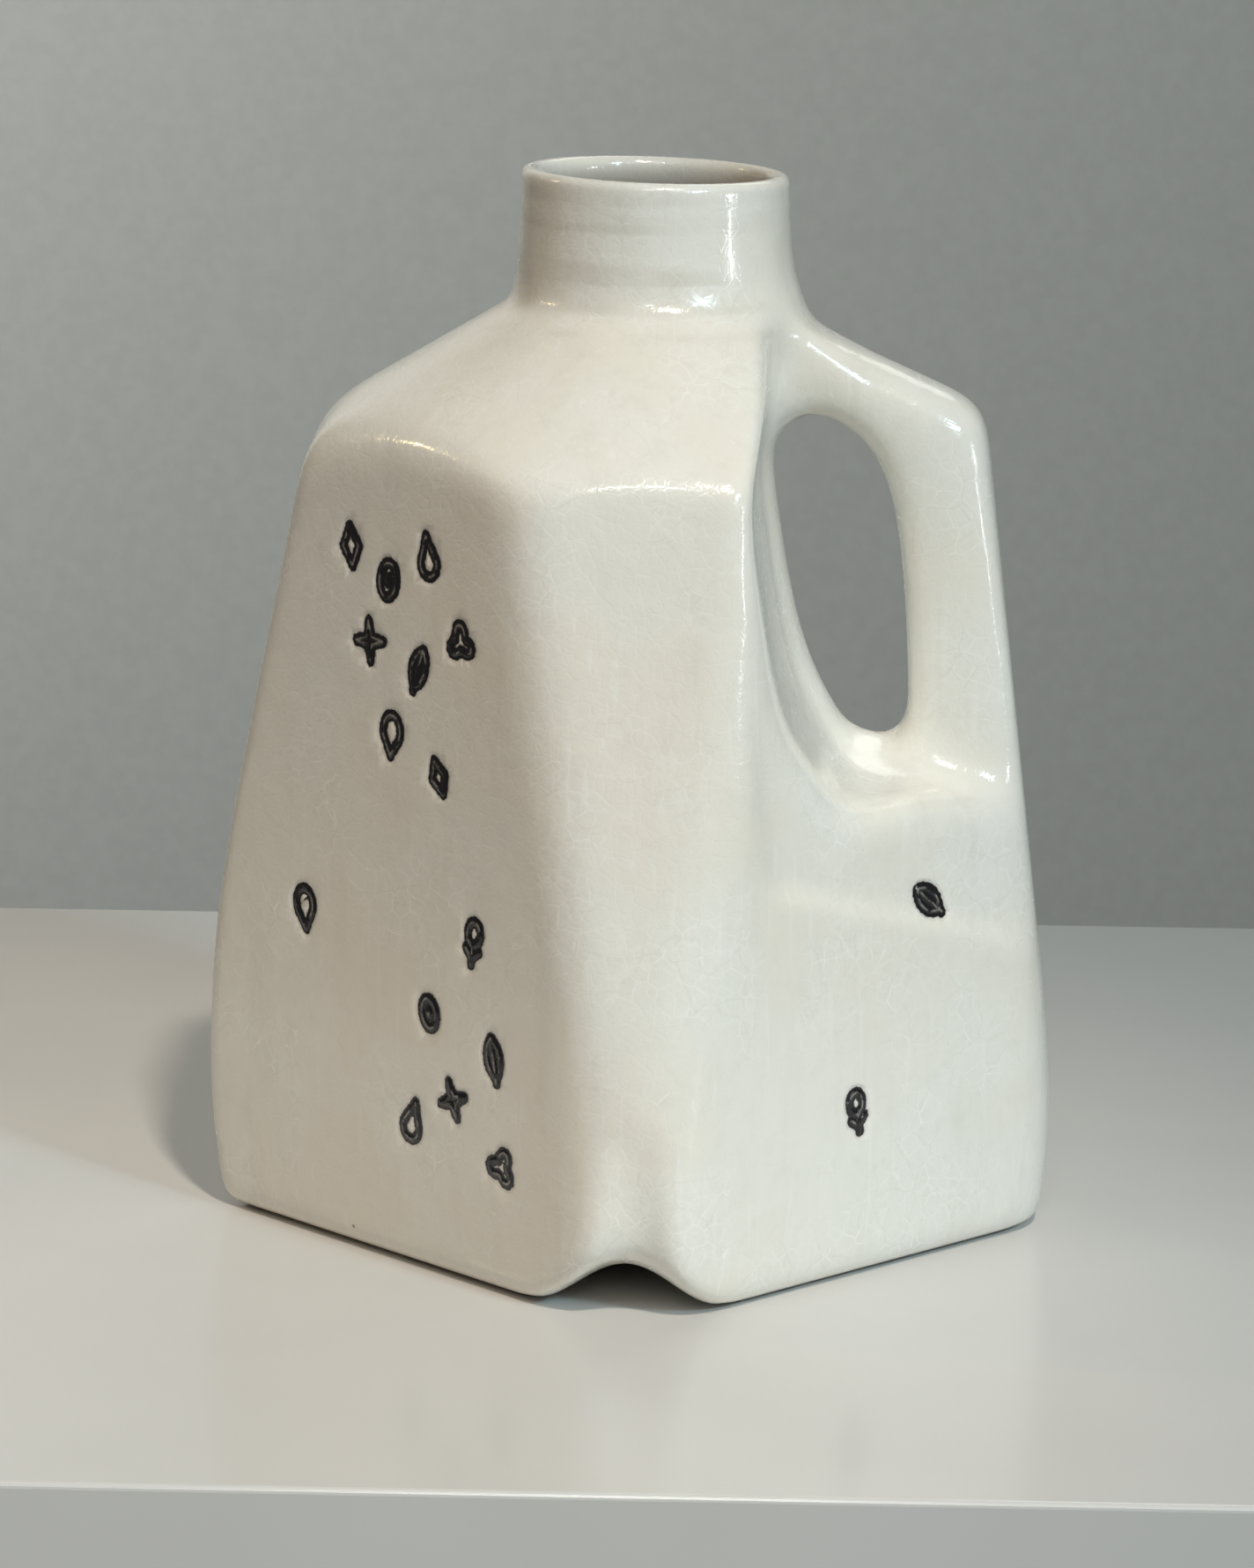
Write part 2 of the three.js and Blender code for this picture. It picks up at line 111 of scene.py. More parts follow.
def body(px, y, z):
    """Signed distance to the body: panels, corner faces, sloping shoulder and base."""
    x, ay = px - AXIS_X, np.abs(y)
    flat = panel_out(z) - CORNER_RADIUS
    u, v = np.abs(x + y) / ROOT2 - flat, np.abs(x - y) / ROOT2 - flat
    d = np.hypot(np.maximum(u, 0), np.maximum(v, 0)) + np.minimum(np.maximum(u, v), 0) - CORNER_RADIUS
    for out, face in ((ay, SIDE_CORNER), (-x, FAR_CORNER), (x, HANDLE_CORNER)):
        d = smooth_max(d, corner_face(out, z, face), face["blend"])
    r = np.maximum(np.hypot(x, y), 1e-6)
    to_handle, to_far = np.clip(x / r, 0, 1) ** 2, np.clip(-x / r, 0, 1) ** 2
    shares = ((to_handle, SHOULDER_HANDLE), (to_far, SHOULDER_FAR), (1 - to_handle - to_far, SHOULDER_SIDE))
    top, slope, blend = (sum(s * f[key] for s, f in shares) for key in ("top", "slope", "blend"))
    shoulder = (z - top + slope * (r - NECK_FOOT_RADIUS)) / np.hypot(1, slope)
    return smooth_max(smooth_max(d, shoulder, blend), -z, BASE_BLEND)


def notch(x, y, z):
    """The notch under each side corner, joined across the base by a low channel."""
    reach = np.clip((np.abs(y) - CHANNEL_REACH) / NOTCH_REACH, 0, 1.3) ** 1.5
    peak = CHANNEL_HEIGHT + (NOTCH_HEIGHT - CHANNEL_HEIGHT) * reach
    aside = np.hypot(x - NOTCH_X, NOTCH_PEAK_RADIUS) - NOTCH_PEAK_RADIUS
    return (z - peak + NOTCH_SLOPE * aside) / math.hypot(1, NOTCH_SLOPE)


def furrow(x, y, z):
    """The shallow furrow that runs up each side corner from its notch."""
    dy, dz = FURROW_HIGH[0] - FURROW_LOW[0], FURROW_HIGH[1] - FURROW_LOW[1]
    py, pz = np.abs(y) - FURROW_LOW[0], z - FURROW_LOW[1]
    t = np.minimum((py * dy + pz * dz) / (dy * dy + dz * dz), 1)
    return np.sqrt((x - FURROW_X) ** 2 + (py - t * dy) ** 2 + (pz - t * dz) ** 2) - FURROW_RADIUS


def set_back(x, y, z):
    """What is cut away beside the handle, above a falling ledge and past a leaning crease."""
    depth = SET_BACK * np.clip((SET_BACK_TOP - z) / SET_BACK_FADE, 0, 1)
    over_ledge = LEDGE["z"] - LEDGE["fall"] * (x - LEDGE["x"]) - z
    past_crease = CREASE["x"] + CREASE["lean"] * (CREASE["z"] - z) - x
    flat = PANEL_OUT - PANEL_TAPER * np.maximum(z - PANEL_WIDEST_Z, 0)
    inward = flat - depth - (x - AXIS_X + np.abs(y)) / ROOT2
    return smooth_max(smooth_max(over_ledge, past_crease, SET_BACK_CORNER_BLEND), inward, SET_BACK_BLEND)


def grip_outline(sides, x, z, ay, blend):
    """Signed distance to a chain of straight sides seen along Y, with rounded corners."""
    d = None
    for (ax, az, draft), (bx, bz, _) in zip(sides, sides[1:]):
        side = ((x - ax) * (bz - az) - (z - az) * (bx - ax)) / math.hypot(bx - ax, bz - az) - draft * ay
        d = side if d is None else smooth_max(d, side, blend)
    return d


def grip(x, y, z):
    """The hand hole and the recess on either side of the handle."""
    ay = np.abs(y)
    body_side = grip_outline(GRIP_BODY_SIDE, x, z, ay, GRIP_BODY_CORNER_BLEND)
    handle_side = grip_outline(GRIP_HANDLE_SIDE, x, z, ay, GRIP_HANDLE_CORNER_BLEND)
    pinch = smooth_max(body_side, HANDLE_HALF_THICKNESS - ay, GRIP_VALLEY_BLEND)
    through = smooth_max(body_side, handle_side, GRIP_OUTLINE_BLEND)
    return smooth_min(pinch, through, HANDLE_INNER_BLEND)


def outside(x, y, z):
    """Signed distance to the jug as if it were solid, with its neck."""
    d = body(x, y, z)
    below = smooth_min(notch(x, y, z), furrow(x, y, z), NOTCH_FURROW_BLEND)
    d = smooth_max(d, -below, NOTCH_BLEND)
    d = smooth_max(d, -set_back(x, y, z), SET_BACK_BLEND)
    high = np.clip((z - GRIP_EDGE_FROM_Z) / GRIP_EDGE_RISE, 0, 1)
    at_handle = np.clip((x - GRIP_EDGE_FROM_X) / GRIP_EDGE_REACH, 0, 1)
    more = GRIP_EDGE_AT_BODY * (1 - at_handle) + GRIP_EDGE_AT_HANDLE * at_handle
    d = smooth_max(d, -grip(x, y, z), GRIP_EDGE_BLEND + high * more)
    r = np.maximum(np.hypot(x - AXIS_X, y), 1e-6)
    radius = RIM_RADIUS + FLARE * np.minimum(np.maximum(HEIGHT - NECK_STRAIGHT - z, 0) / FLARE_HEIGHT, 2) ** 2
    radius = radius - NECK_FOOT_SLOPE * smooth_max(NECK_FOOT_Z - z, 0 * z, NECK_FOOT_BLEND)
    along = (x - AXIS_X) / r
    toward = np.where(along > 0, NECK_BLEND_HANDLE, NECK_BLEND_FAR)
    return smooth_min(d, r - radius, NECK_BLEND_SIDE + (toward - NECK_BLEND_SIDE) * along ** 2)


def jug(x, y, z):
    """The whole jug: the outside less the hollow, with a rounded lip at the rim's plane."""
    d = outside(x, y, z)
    hollow = smooth_max(d + WALL, smooth_min(x - SOLID_FROM_X, z - SOLID_FROM_Z, HOLLOW_END_BLEND),
                        HOLLOW_END_BLEND)
    rim = z - (HEIGHT - RIM_DIP * (x - AXIS_X + RIM_RADIUS))
    return smooth_max(np.maximum(d, -hollow), rim, LIP_ROUND)


def gradient(form, p, step=0.02):
    """How fast a form's distance grows along x, y and z at points."""
    g = np.empty_like(p)
    for k in range(3):
        e = np.zeros(3)
        e[k] = step
        g[:, k] = form(*(p + e).T) - form(*(p - e).T)
    return g / (2 * step)


def unit_normals(form, p):
    g = gradient(form, p)
    return g / np.linalg.norm(g, axis=1)[:, None]


LONGEST_STEP, LEAST_STEEPNESS = 1.2, 0.4


def settle(form, p, rounds=4):
    """Moves points onto a form's surface, by short steps along its gradient."""
    for _ in range(rounds):
        g = gradient(form, p)
        steepness = np.maximum((g * g).sum(1), LEAST_STEEPNESS)
        p = p - g * (np.clip(form(*p.T), -LONGEST_STEP, LONGEST_STEP) / steepness)[:, None]
    return p


def nets(form, lines):
    """Surface nets over a grid: one point in each cell that the surface crosses, joined across edges."""
    value = form(*np.meshgrid(*lines, indexing="ij"))
    inside = value < 0
    n = np.array(inside.shape)
    count = np.zeros(n - 1, np.int8)
    for corner in np.ndindex(2, 2, 2):
        count += inside[tuple(slice(c, c + m - 1) for c, m in zip(corner, n))]
    mixed = (count > 0) & (count < 8)
    cells = np.argwhere(mixed)
    index = np.full(mixed.shape, -1)
    index[mixed] = np.arange(len(cells))
    total, crossings = np.zeros((len(cells), 3)), np.zeros(len(cells))
    quads = []
    for axis in range(3):
        a, b = (axis + 1) % 3, (axis + 2) % 3
        step, step_a, step_b = (np.eye(3, dtype=int)[k] for k in (axis, a, b))
        for side in (0 * step, step_a, step_b, step_a + step_b):
            start, end = cells + side, cells + side + step
            v0, v1 = value[tuple(start.T)], value[tuple(end.T)]
            cut = (v0 < 0) != (v1 < 0)
            t = np.where(cut, v0 / np.where(cut, v0 - v1, 1), 0)[:, None]
            p0, p1 = (np.stack([lines[k][q[:, k]] for k in range(3)], 1) for q in (start, end))
            total += np.where(cut[:, None], p0 + t * (p1 - p0), 0)
            crossings += cut
        low = np.take(inside, range(n[axis] - 1), axis)
        high = np.take(inside, range(1, n[axis]), axis)
        edges = np.argwhere(low != high)
        on_rim = [(edges[:, k] == 0) | (edges[:, k] == n[k] - 1) for k in (a, b)]
        edges = edges[~(on_rim[0] | on_rim[1])]
        ring = [index[tuple((edges - s).T)] for s in (step_a + step_b, step_b, 0 * step, step_a)]
        quad = np.stack(ring, 1)
        out = low[tuple(edges.T)]
        quads.append(np.where(out[:, None], quad, quad[:, ::-1]))
    return total / crossings[:, None], np.concatenate(quads)


def refine(form, points, faces, wanted):
    """Splits each edge that is longer than wanted there, and puts the new points on the surface."""
    sides = np.stack([faces, np.roll(faces, -1, 1)], 2).reshape(-1, 2)
    pairs, of_side = np.unique(np.sort(sides, 1), axis=0, return_inverse=True)
    a, b = points[pairs[:, 0]], points[pairs[:, 1]]
    split = np.linalg.norm(a - b, axis=1) > wanted((a + b) / 2, pairs)
    if not split.any():
        return points, faces
    middle = np.full(len(pairs), -1)
    middle[split] = len(points) + np.arange(split.sum())
    points = np.concatenate([points, settle(form, ((a + b) / 2)[split], 3)])
    mids = middle[of_side.ravel()].reshape(-1, 3)
    made = []
    for code in range(8):  # which of a triangle's three sides are split
        flags = [(code >> k) & 1 for k in range(3)]
        rows = ((mids >= 0) == np.array(flags, bool)).all(1)
        turn = 0
        if sum(flags) == 1:
            turn = flags.index(1)
        elif sum(flags) == 2:
            turn = (flags.index(0) + 1) % 3
        v, m = np.roll(faces[rows], -turn, 1), np.roll(mids[rows], -turn, 1)
        if sum(flags) == 0:
            parts = [(v[:, 0], v[:, 1], v[:, 2])]
        elif sum(flags) == 1:
            parts = [(v[:, 0], m[:, 0], v[:, 2]), (m[:, 0], v[:, 1], v[:, 2])]
        elif sum(flags) == 2:
            parts = [(m[:, 0], v[:, 1], m[:, 1]), (v[:, 0], m[:, 0], m[:, 1]),
                     (v[:, 0], m[:, 1], v[:, 2])]
        else:
            parts = [(v[:, 0], m[:, 0], m[:, 2]), (m[:, 0], v[:, 1], m[:, 1]),
                     (m[:, 2], m[:, 1], v[:, 2]), (m[:, 0], m[:, 1], m[:, 2])]
        made += [np.stack(part, 1) for part in parts]
    return points, np.concatenate(made)


# The stamped marks. Each motif is a few strokes in a box about one unit high, drawn as points.
def arc(cx, cy, rx, ry, start, end, steps=14):
    t = np.radians(np.linspace(start, end, steps))
    return np.stack([cx + rx * np.cos(t), cy + ry * np.sin(t)], 1)


def lobes(count, radius, swell, steps=30):
    """A closed outline with rounded lobes."""
    t = np.linspace(0, 2 * math.pi, steps)
    r = radius + swell * np.cos(count * t)
    return np.stack([r * np.sin(t), r * np.cos(t)], 1)


MOTIFS = {
    "ring": [arc(0, 0, 0.3, 0.42, 0, 360, 20), arc(0, 0, 0.05, 0.07, 0, 360, 6)],
    "lozenge": [np.array([(0, 0.5), (0.3, 0), (0, -0.5), (-0.3, 0), (0, 0.5)])],
    "leaf": [np.concatenate([arc(-0.42, 0, 0.66, 0.66, -48, 48), arc(0.42, 0, 0.66, 0.66, 132, 228)]),
             np.array([(0, 0.5), (0, -0.62)])],
    "trefoil": [lobes(3, 0.34, 0.12)],
    "drop": [np.concatenate([[(0, 0.55)], arc(0, -0.16, 0.3, 0.3, 25, -205), [(0, 0.55)]])],
    "star": [np.array([(0.12 * math.cos(a) if k % 2 else 0.46 * math.cos(a),
                        0.12 * math.sin(a) if k % 2 else 0.46 * math.sin(a))
                       for k, a in enumerate(np.radians(np.arange(90, 451, 45)))])],
    "seed": [np.concatenate([[(0, -0.55)], arc(0, 0.08, 0.32, 0.40, -25, 205), [(0, -0.55)]])],
    "bud": [arc(0, 0.2, 0.22, 0.28, 0, 360, 16), np.array([(0, -0.08), (0, -0.55)]),
            np.array([(-0.22, -0.2), (0, -0.4), (0.22, -0.2)])],
}
MARK_SIZE = 8.1
NONE = 9.0  # the distance that stands for no mark near

# Where the marks are: the panel, how far along it from its middle, the height, the motif, its turn
# in degrees and its scale. Panels are named by where they face.
MARKS = [
    ("left", -19.5, 146.5, "lozenge", 8, 1.0), ("left", -8.0, 141.0, "ring", -12, 1.05),
    ("left", 4.0, 147.0, "drop", 10, 1.0), ("left", -13.5, 128.0, "star", 5, 1.1),
    ("left", 1.5, 124.5, "leaf", -20, 1.0), ("left", 14.0, 131.5, "trefoil", 6, 0.95),
    ("left", -6.5, 110.0, "seed", -4, 1.0), ("left", 8.0, 103.5, "lozenge", 24, 0.85),
    ("left", 19.0, 72.0, "bud", -8, 1.05), ("left", 6.0, 55.0, "ring", 14, 0.9),
    ("left", 25.5, 49.5, "leaf", 12, 1.0), ("left", 13.5, 38.5, "star", 20, 1.0),
    ("left", 1.0, 31.5, "drop", -16, 1.0), ("left", 28.0, 27.5, "trefoil", -24, 0.95),
    ("left", -33.0, 70.0, "seed", 6, 1.0), ("right", -4.0, 36.0, "bud", 12, 1.0),
    ("right", 17.5, 76.0, "leaf", 52, 1.0),
    ("back", 12.0, 120.0, "ring", 6, 1.0), ("back", -16.0, 58.0, "drop", -10, 1.0),
    ("back", 2.0, 40.0, "lozenge", 12, 1.0), ("far", -10.0, 132.0, "trefoil", 10, 1.0),
    ("far", 9.0, 118.0, "star", -6, 1.0), ("far", -2.0, 46.0, "leaf", 14, 1.0),
]
FACING = {"left": (-1, -1), "right": (1, -1), "back": (1, 1), "far": (-1, 1)}


def placed_marks():
    """Each mark's middle on the surface, its two directions there and its strokes in millimetres."""
    found = []
    for panel, along, z, motif, turn, scale in MARKS:
        out = np.array([*FACING[panel], 0]) / ROOT2
        right = np.array([-out[1], out[0], 0])
        near = np.array([AXIS_X, 0, z]) + PANEL_OUT * out + along * right
        middle = settle(outside, near[None])[0]
        out = unit_normals(outside, middle[None])[0]
        right -= out * (out @ right)
        right /= np.linalg.norm(right)
        up = np.cross(out, right)
        c, s = math.cos(math.radians(turn)), math.sin(math.radians(turn))
        across, along_up = c * right + s * up, c * up - s * right
        found.append((middle, across, along_up, [MARK_SIZE * scale * stroke for stroke in MOTIFS[motif]]))
    return found


def stroke_distance(q, stroke):
    """Distance from 2-D points to a line through a stroke's points."""
    best = np.full(len(q), NONE)
    for a, b in zip(stroke, stroke[1:]):
        d = b - a
        t = np.clip(((q - a) @ d) / max(d @ d, 1e-9), 0, 1)
        best = np.minimum(best, np.linalg.norm(q - a - t[:, None] * d, axis=1))
    return best


def mark_distance(p, marks):
    """Distance along the surface from each point to the nearest stroke of a mark."""
    best = np.full(len(p), NONE)
    for middle, across, up, strokes in marks:
        near = np.flatnonzero(np.linalg.norm(p - middle, axis=1) < MARK_SIZE)
        q = np.stack([(p[near] - middle) @ across, (p[near] - middle) @ up], 1)
        for stroke in strokes:
            best[near] = np.minimum(best[near], stroke_distance(q, stroke))
    return best


COARSE = 1
CELL = 2.15  # its diagonal stays under the wall's thickness
GRID_HALF, GRID_LOW, GRID_HIGH = 76, -4, 224
LONGEST_EDGE, CURVED_EDGE, FINE_EDGE, LIP_EDGE, MARK_EDGE = 99, 4, 1.0, 1.2, 0.56
BEND, ROUND_PER_EDGE, ROUNDS = math.radians(13), 2.2, 4
LIP_DEPTH, MARK_REACH = 8, 2.2
# A mark is pressed in by this much, over a sloping edge, with a ridge left along its stroke.
EMBOSS, EMBOSS_EDGE, EMBOSS_SLOPE = 0.28, 1.9, 0.5
RIDGE_FROM, RIDGE_WIDTH, RIDGE_DEPTH = 0.15, 0.4, 0.25
# The last two: how far below the rim the hollow's painted shade starts, and over how many millimetres it
# grows to full.
ON_SURFACE, INNER_FROM, INNER_FADE = 0.05, 1.5, 5


def grid_line(start, end):
    return np.linspace(start, end, round((end - start) / CELL) + 1)


def upright(u, v):
    """From the grid, which lies along the panels an eighth of a turn round, to the jug's x and y."""
    return (u - v) / ROOT2 + AXIS_X, (u + v) / ROOT2


def jug_mesh():
    """The jug's points and triangles, with each point's distance to a mark and its share of painted shade in
    the hollow, by its depth below the rim.
    """
    marks = placed_marks()
    across = grid_line(-GRID_HALF, GRID_HALF)
    lines = [across, across, grid_line(GRID_LOW, GRID_HIGH)]
    points, quads = nets(lambda u, v, z: jug(*upright(u, v), z), lines)
    points = settle(jug, np.stack([*upright(points[:, 0], points[:, 1]), points[:, 2]], 1))
    faces = np.concatenate([quads[:, [0, 1, 2]], quads[:, [0, 2, 3]]])

    def wanted(middle, pairs):
        """The longest that an edge may be: short where the surface bends, at the lip and at marks."""
        bend = np.arccos(np.clip((normals[pairs[:, 0]] * normals[pairs[:, 1]]).sum(1), -1, 1))
        fine = FINE_EDGE * COARSE
        curved = np.minimum(fine * ROUND_PER_EDGE * BEND / np.maximum(bend, 1e-6), 1) * CURVED_EDGE
        size = np.where(bend > BEND, np.maximum(curved, fine), LONGEST_EDGE)
        lip = middle[:, 2] > HEIGHT - LIP_DEPTH
        size[lip] = np.minimum(size[lip], LIP_EDGE * COARSE)
        size[mark_distance(middle, marks) < MARK_REACH] = MARK_EDGE * COARSE
        return size

    for _ in range(ROUNDS):
        normals = unit_normals(jug, points)
        points, faces = refine(jug, points, faces, wanted)
    normals = unit_normals(jug, points)
    on_outside = np.abs(outside(*points.T)) < ON_SURFACE
    distance = np.where(on_outside, mark_distance(points, marks), NONE)
    ridge = np.clip((distance - RIDGE_FROM) / RIDGE_WIDTH, RIDGE_DEPTH, 1)
    pressed = EMBOSS * np.clip((EMBOSS_EDGE - distance) / EMBOSS_SLOPE, 0, 1) * ridge
    points = points - normals * pressed[:, None]
    # Inside the hollow, each point gets a share of painted shade that grows with its depth below the rim.
    depth = HEIGHT - RIM_DIP * (points[:, 0] - AXIS_X + RIM_RADIUS) - points[:, 2]
    hollow_shade = np.where(on_outside, 0.0, np.clip((depth - INNER_FROM) / INNER_FADE, 0, 1))
    return points, faces, distance, hollow_shade


def add_mesh(name, points, faces, material, smooth=True):
    mesh = bpy.data.meshes.new(name)
    mesh.from_pydata(np.asarray(points).tolist(), [], np.asarray(faces).tolist())
    mesh.validate()
    mesh.polygons.foreach_set("use_smooth", [smooth] * len(mesh.polygons))
    mesh.materials.append(material)
    piece = bpy.data.objects.new(name, mesh)
    bpy.context.scene.collection.objects.link(piece)
    return piece


def node(tree, kind, inputs=(), **settings):
    made = tree.nodes.new("ShaderNode" + kind)
    for key, value in settings.items():
        setattr(made, key, value)
    for key, value in dict(inputs).items():
        if isinstance(value, bpy.types.NodeSocket):
            tree.links.new(value, made.inputs[key])
        else:
            made.inputs[key].default_value = value
    return made


def maths(tree, operation, *values):
    return node(tree, "Math", enumerate(values), operation=operation).outputs[0]


def product(tree, *values):
    """The product of two or more values."""
    result = values[0]
    for value in values[1:]:
        result = maths(tree, "MULTIPLY", result, value)
    return result


def ramp(tree, value, low, high, to_low=0.0, to_high=1.0):
    """A soft step from one value to another."""
    made = node(tree, "MapRange", {0: value, 1: low, 2: high, 3: to_low, 4: to_high})
    made.interpolation_type = "SMOOTHSTEP"
    return made.outputs[0]


def mixed(tree, share, a, b):
    """Colour a with a share of colour b."""
    return node(tree, "Mix", {0: share, 6: a, 7: b}, data_type="RGBA").outputs[2]


def new_material(name):
    material = bpy.data.materials.new(name)
    material.use_nodes = True
    tree = material.node_tree
    return material, tree, tree.nodes["Principled BSDF"]


def millimetres(tree, stretch=(1, 1, 1)):
    place = node(tree, "TexCoord").outputs["Object"]
    scale = tuple(1000 * s for s in stretch)
    return node(tree, "VectorMath", {0: place, 1: scale}, operation="MULTIPLY").outputs[0]


def noise(tree, size, detail=3.0, rough=0.5, stretch=(1, 1, 1), warp=0.0):
    """Noise whose features are about size millimetres across."""
    return node(tree, "TexNoise", {
        "Vector": millimetres(tree, stretch), "Scale": 1 / size, "Detail": detail,
        "Roughness": rough, "Distortion": warp,
    }).outputs[0]


def cracks(tree, size, width, wander):
    """Lines between cells about size millimetres across: 1 on a line, 0 off it."""
    bent = node(tree, "TexNoise", {"Vector": millimetres(tree), "Scale": 1 / (0.9 * size), "Detail": 2.0})
    shift = node(tree, "VectorMath", {0: bent.outputs["Color"], 1: (wander,) * 3}, operation="MULTIPLY")
    place = node(tree, "VectorMath", {0: millimetres(tree), 1: shift.outputs[0]}, operation="ADD")
    cells = node(tree, "TexVoronoi", {"Vector": place.outputs[0], "Scale": 1 / size},
                 feature="DISTANCE_TO_EDGE")
    return ramp(tree, cells.outputs["Distance"], 0.0, width / size, 1.0, 0.0)


# The porcelain's colours.
WARM, COOL, GREY = (0.87, 0.82, 0.735, 1), (0.87, 0.85, 0.79, 1), (0.64, 0.60, 0.52, 1)
PALE_STREAK, PALE_CRACK, DARK_CRACK = (0.93, 0.91, 0.86, 1), (0.95, 0.93, 0.88, 1), (0.44, 0.38, 0.30, 1)
# The last of these, for the hollow, is painted shade: the colour that the inside is darkened towards, deeper
# below the rim.
SPECK, TURNED_RING, HOLLOW_SHADE = (0.10, 0.09, 0.08, 1), (0.56, 0.51, 0.43, 1), (0.22, 0.175, 0.14, 1)
BLEED, INK, WORN_INK = (0.40, 0.36, 0.34, 1), (0.010, 0.009, 0.011, 1), (0.27, 0.25, 0.23, 1)


def glaze(tree, blotch, light_cracks, fade):
    """The glaze's colour: mottled, with vertical runs, fine cracks and a few specks."""
    ground = mixed(tree, ramp(tree, noise(tree, 45, 2), 0.35, 0.65), WARM, COOL)
    runs = ramp(tree, noise(tree, 9, 3, 0.6, (1, 1, 0.16)), 0.50, 0.78)
    ground = mixed(tree, product(tree, runs, 0.20), ground, GREY)
    streaks = ramp(tree, noise(tree, 1.7, 2, 0.55, (1, 1, 0.07), 0.3), 0.54, 0.76)
    patches = ramp(tree, noise(tree, 30, 2), 0.40, 0.60)
    ground = mixed(tree, product(tree, streaks, patches, 0.50), ground, PALE_STREAK)
    ground = mixed(tree, product(tree, blotch, 0.10), ground, GREY)
    ground = mixed(tree, product(tree, light_cracks, 0.42), ground, PALE_CRACK)
    ground = mixed(tree, product(tree, cracks(tree, 9.5, 0.26, 4.5), fade, 0.09), ground, DARK_CRACK)
    specks = node(tree, "TexVoronoi", {"Vector": millimetres(tree), "Scale": 1 / 26}, feature="F1")
    return mixed(tree, ramp(tree, specks.outputs["Distance"], 0.010, 0.022, 0.75, 0.0), ground, SPECK)


def neck_and_hollow(tree, ground, fade):
    """Adds faint rings round the neck, as left by turning, and painted shade in the hollow, darker the deeper
    it lies below the rim.
    """
    along = node(tree, "TexNoise", {
        "Vector": millimetres(tree, (0.02, 0.02, 1)), "Scale": 1 / 5.5, "Detail": 2.0,
    })
    rings = ramp(tree, along.outputs[0], 0.46, 0.62)
    above = ramp(tree, node(tree, "SeparateXYZ", {0: millimetres(tree)}).outputs[2], 186, 191)
    ground = mixed(tree, product(tree, rings, above, fade, 0.32), ground, TURNED_RING)
    # Painted shade: the inside of the hollow is darkened, more the deeper it lies below the rim.
    hollow_shade = node(tree, "Attribute", attribute_name="hollow_shade").outputs["Fac"]
    return mixed(tree, product(tree, hollow_shade, 0.9), ground, HOLLOW_SHADE)


def stamped(tree, ground):
    """Adds the ink round each mark's strokes, with a bleeding edge and a worn middle line."""
    mark = node(tree, "Attribute", attribute_name="mark").outputs["Fac"]
    ragged = product(tree, maths(tree, "SUBTRACT", noise(tree, 0.9, 3), 0.5), 0.75)
    edge = maths(tree, "ADD", mark, ragged)
    middle = ramp(tree, maths(tree, "ADD", mark, product(tree, ragged, 0.3)), 0.06, 0.36, 1.0, 0.0)
    worn = ramp(tree, noise(tree, 3.0, 3), 0.45, 0.58)
    ground = mixed(tree, ramp(tree, edge, 1.2, 2.2, 0.36, 0.0), ground, BLEED)
    ground = mixed(tree, ramp(tree, edge, 1.12, 1.38, 1.0, 0.0), ground, INK)
    return mixed(tree, product(tree, middle, worn), ground, WORN_INK)


def porcelain():
    material, tree, shader = new_material("glazed porcelain")
    blotch = ramp(tree, noise(tree, 4.5, 4, 0.6), 0.45, 0.75)
    fine, broad = cracks(tree, 2.1, 0.30, 1.0), cracks(tree, 4.4, 0.36, 2.0)
    fade = ramp(tree, noise(tree, 22, 2), 0.38, 0.62)
    light = product(tree, maths(tree, "MAXIMUM", product(tree, fine, 0.45), broad), fade)
    ground = glaze(tree, blotch, light, fade)
    ground = stamped(tree, neck_and_hollow(tree, ground, fade))
    tree.links.new(ground, shader.inputs["Base Color"])

    sheen = maths(tree, "ADD", product(tree, blotch, 0.08), 0.16)
    sheen = maths(tree, "ADD", sheen, product(tree, light, 0.10))
    tree.links.new(sheen, shader.inputs["Roughness"])
    shader.inputs["IOR"].default_value = 1.52
    shader.inputs["Coat Weight"].default_value = 0.25
    shader.inputs["Coat Roughness"].default_value = 0.04
    crack_depth = product(tree, maths(tree, "ADD", fine, broad), 0.05)
    height = maths(tree, "SUBTRACT", noise(tree, 9, 3), crack_depth)
    bump = node(tree, "Bump", {"Height": height, "Strength": 0.15, "Distance": 0.0016})
    tree.links.new(bump.outputs[0], shader.inputs["Normal"])
    return material


def plain(name, colour, roughness, size, depth):
    """A plain painted surface with a slight mottle."""
    material, tree, shader = new_material(name)
    spots = ramp(tree, noise(tree, size, 4), 0.3, 0.7)
    darker = tuple(c * (1 - depth) for c in colour) + (1,)
    tree.links.new(mixed(tree, spots, (*colour, 1), darker), shader.inputs["Base Color"])
    shader.inputs["Roughness"].default_value = roughness
    return material


# The jug, fitted inside the solid's box by a fraction of a millimetre.
points, faces, distance, hollow_shade = jug_mesh()
low, high = (np.array(corner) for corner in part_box("jug"))
points = points * MM
span_low, span_high = points.min(0), points.max(0)
room = 0.02 * MM
points = (points - span_low) / (span_high - span_low) * (high - low - 2 * room) + low + room
points[:, 2] -= points[:, 2].min() - low[2]
piece = add_mesh("porcelain_jug", points, faces, porcelain())
for name, values in (("mark", distance), ("hollow_shade", hollow_shade)):
    piece.data.attributes.new(name, "FLOAT", "POINT").data.foreach_set("value", values)
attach(piece, "root")
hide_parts("jug")


def slab(name, low, high, material, bevel):
    """A board with rounded edges, as mesh."""
    corners = [(x, y, z) for x in (low[0], high[0]) for y in (low[1], high[1]) for z in (low[2], high[2])]
    sides = [(0, 1, 3, 2), (4, 6, 7, 5), (0, 4, 5, 1), (2, 3, 7, 6), (0, 2, 6, 4), (1, 5, 7, 3)]
    board = add_mesh(name, corners, sides, material, smooth=False)
    edge = board.modifiers.new("edge", "BEVEL")
    edge.width, edge.segments = bevel, 4
    return board


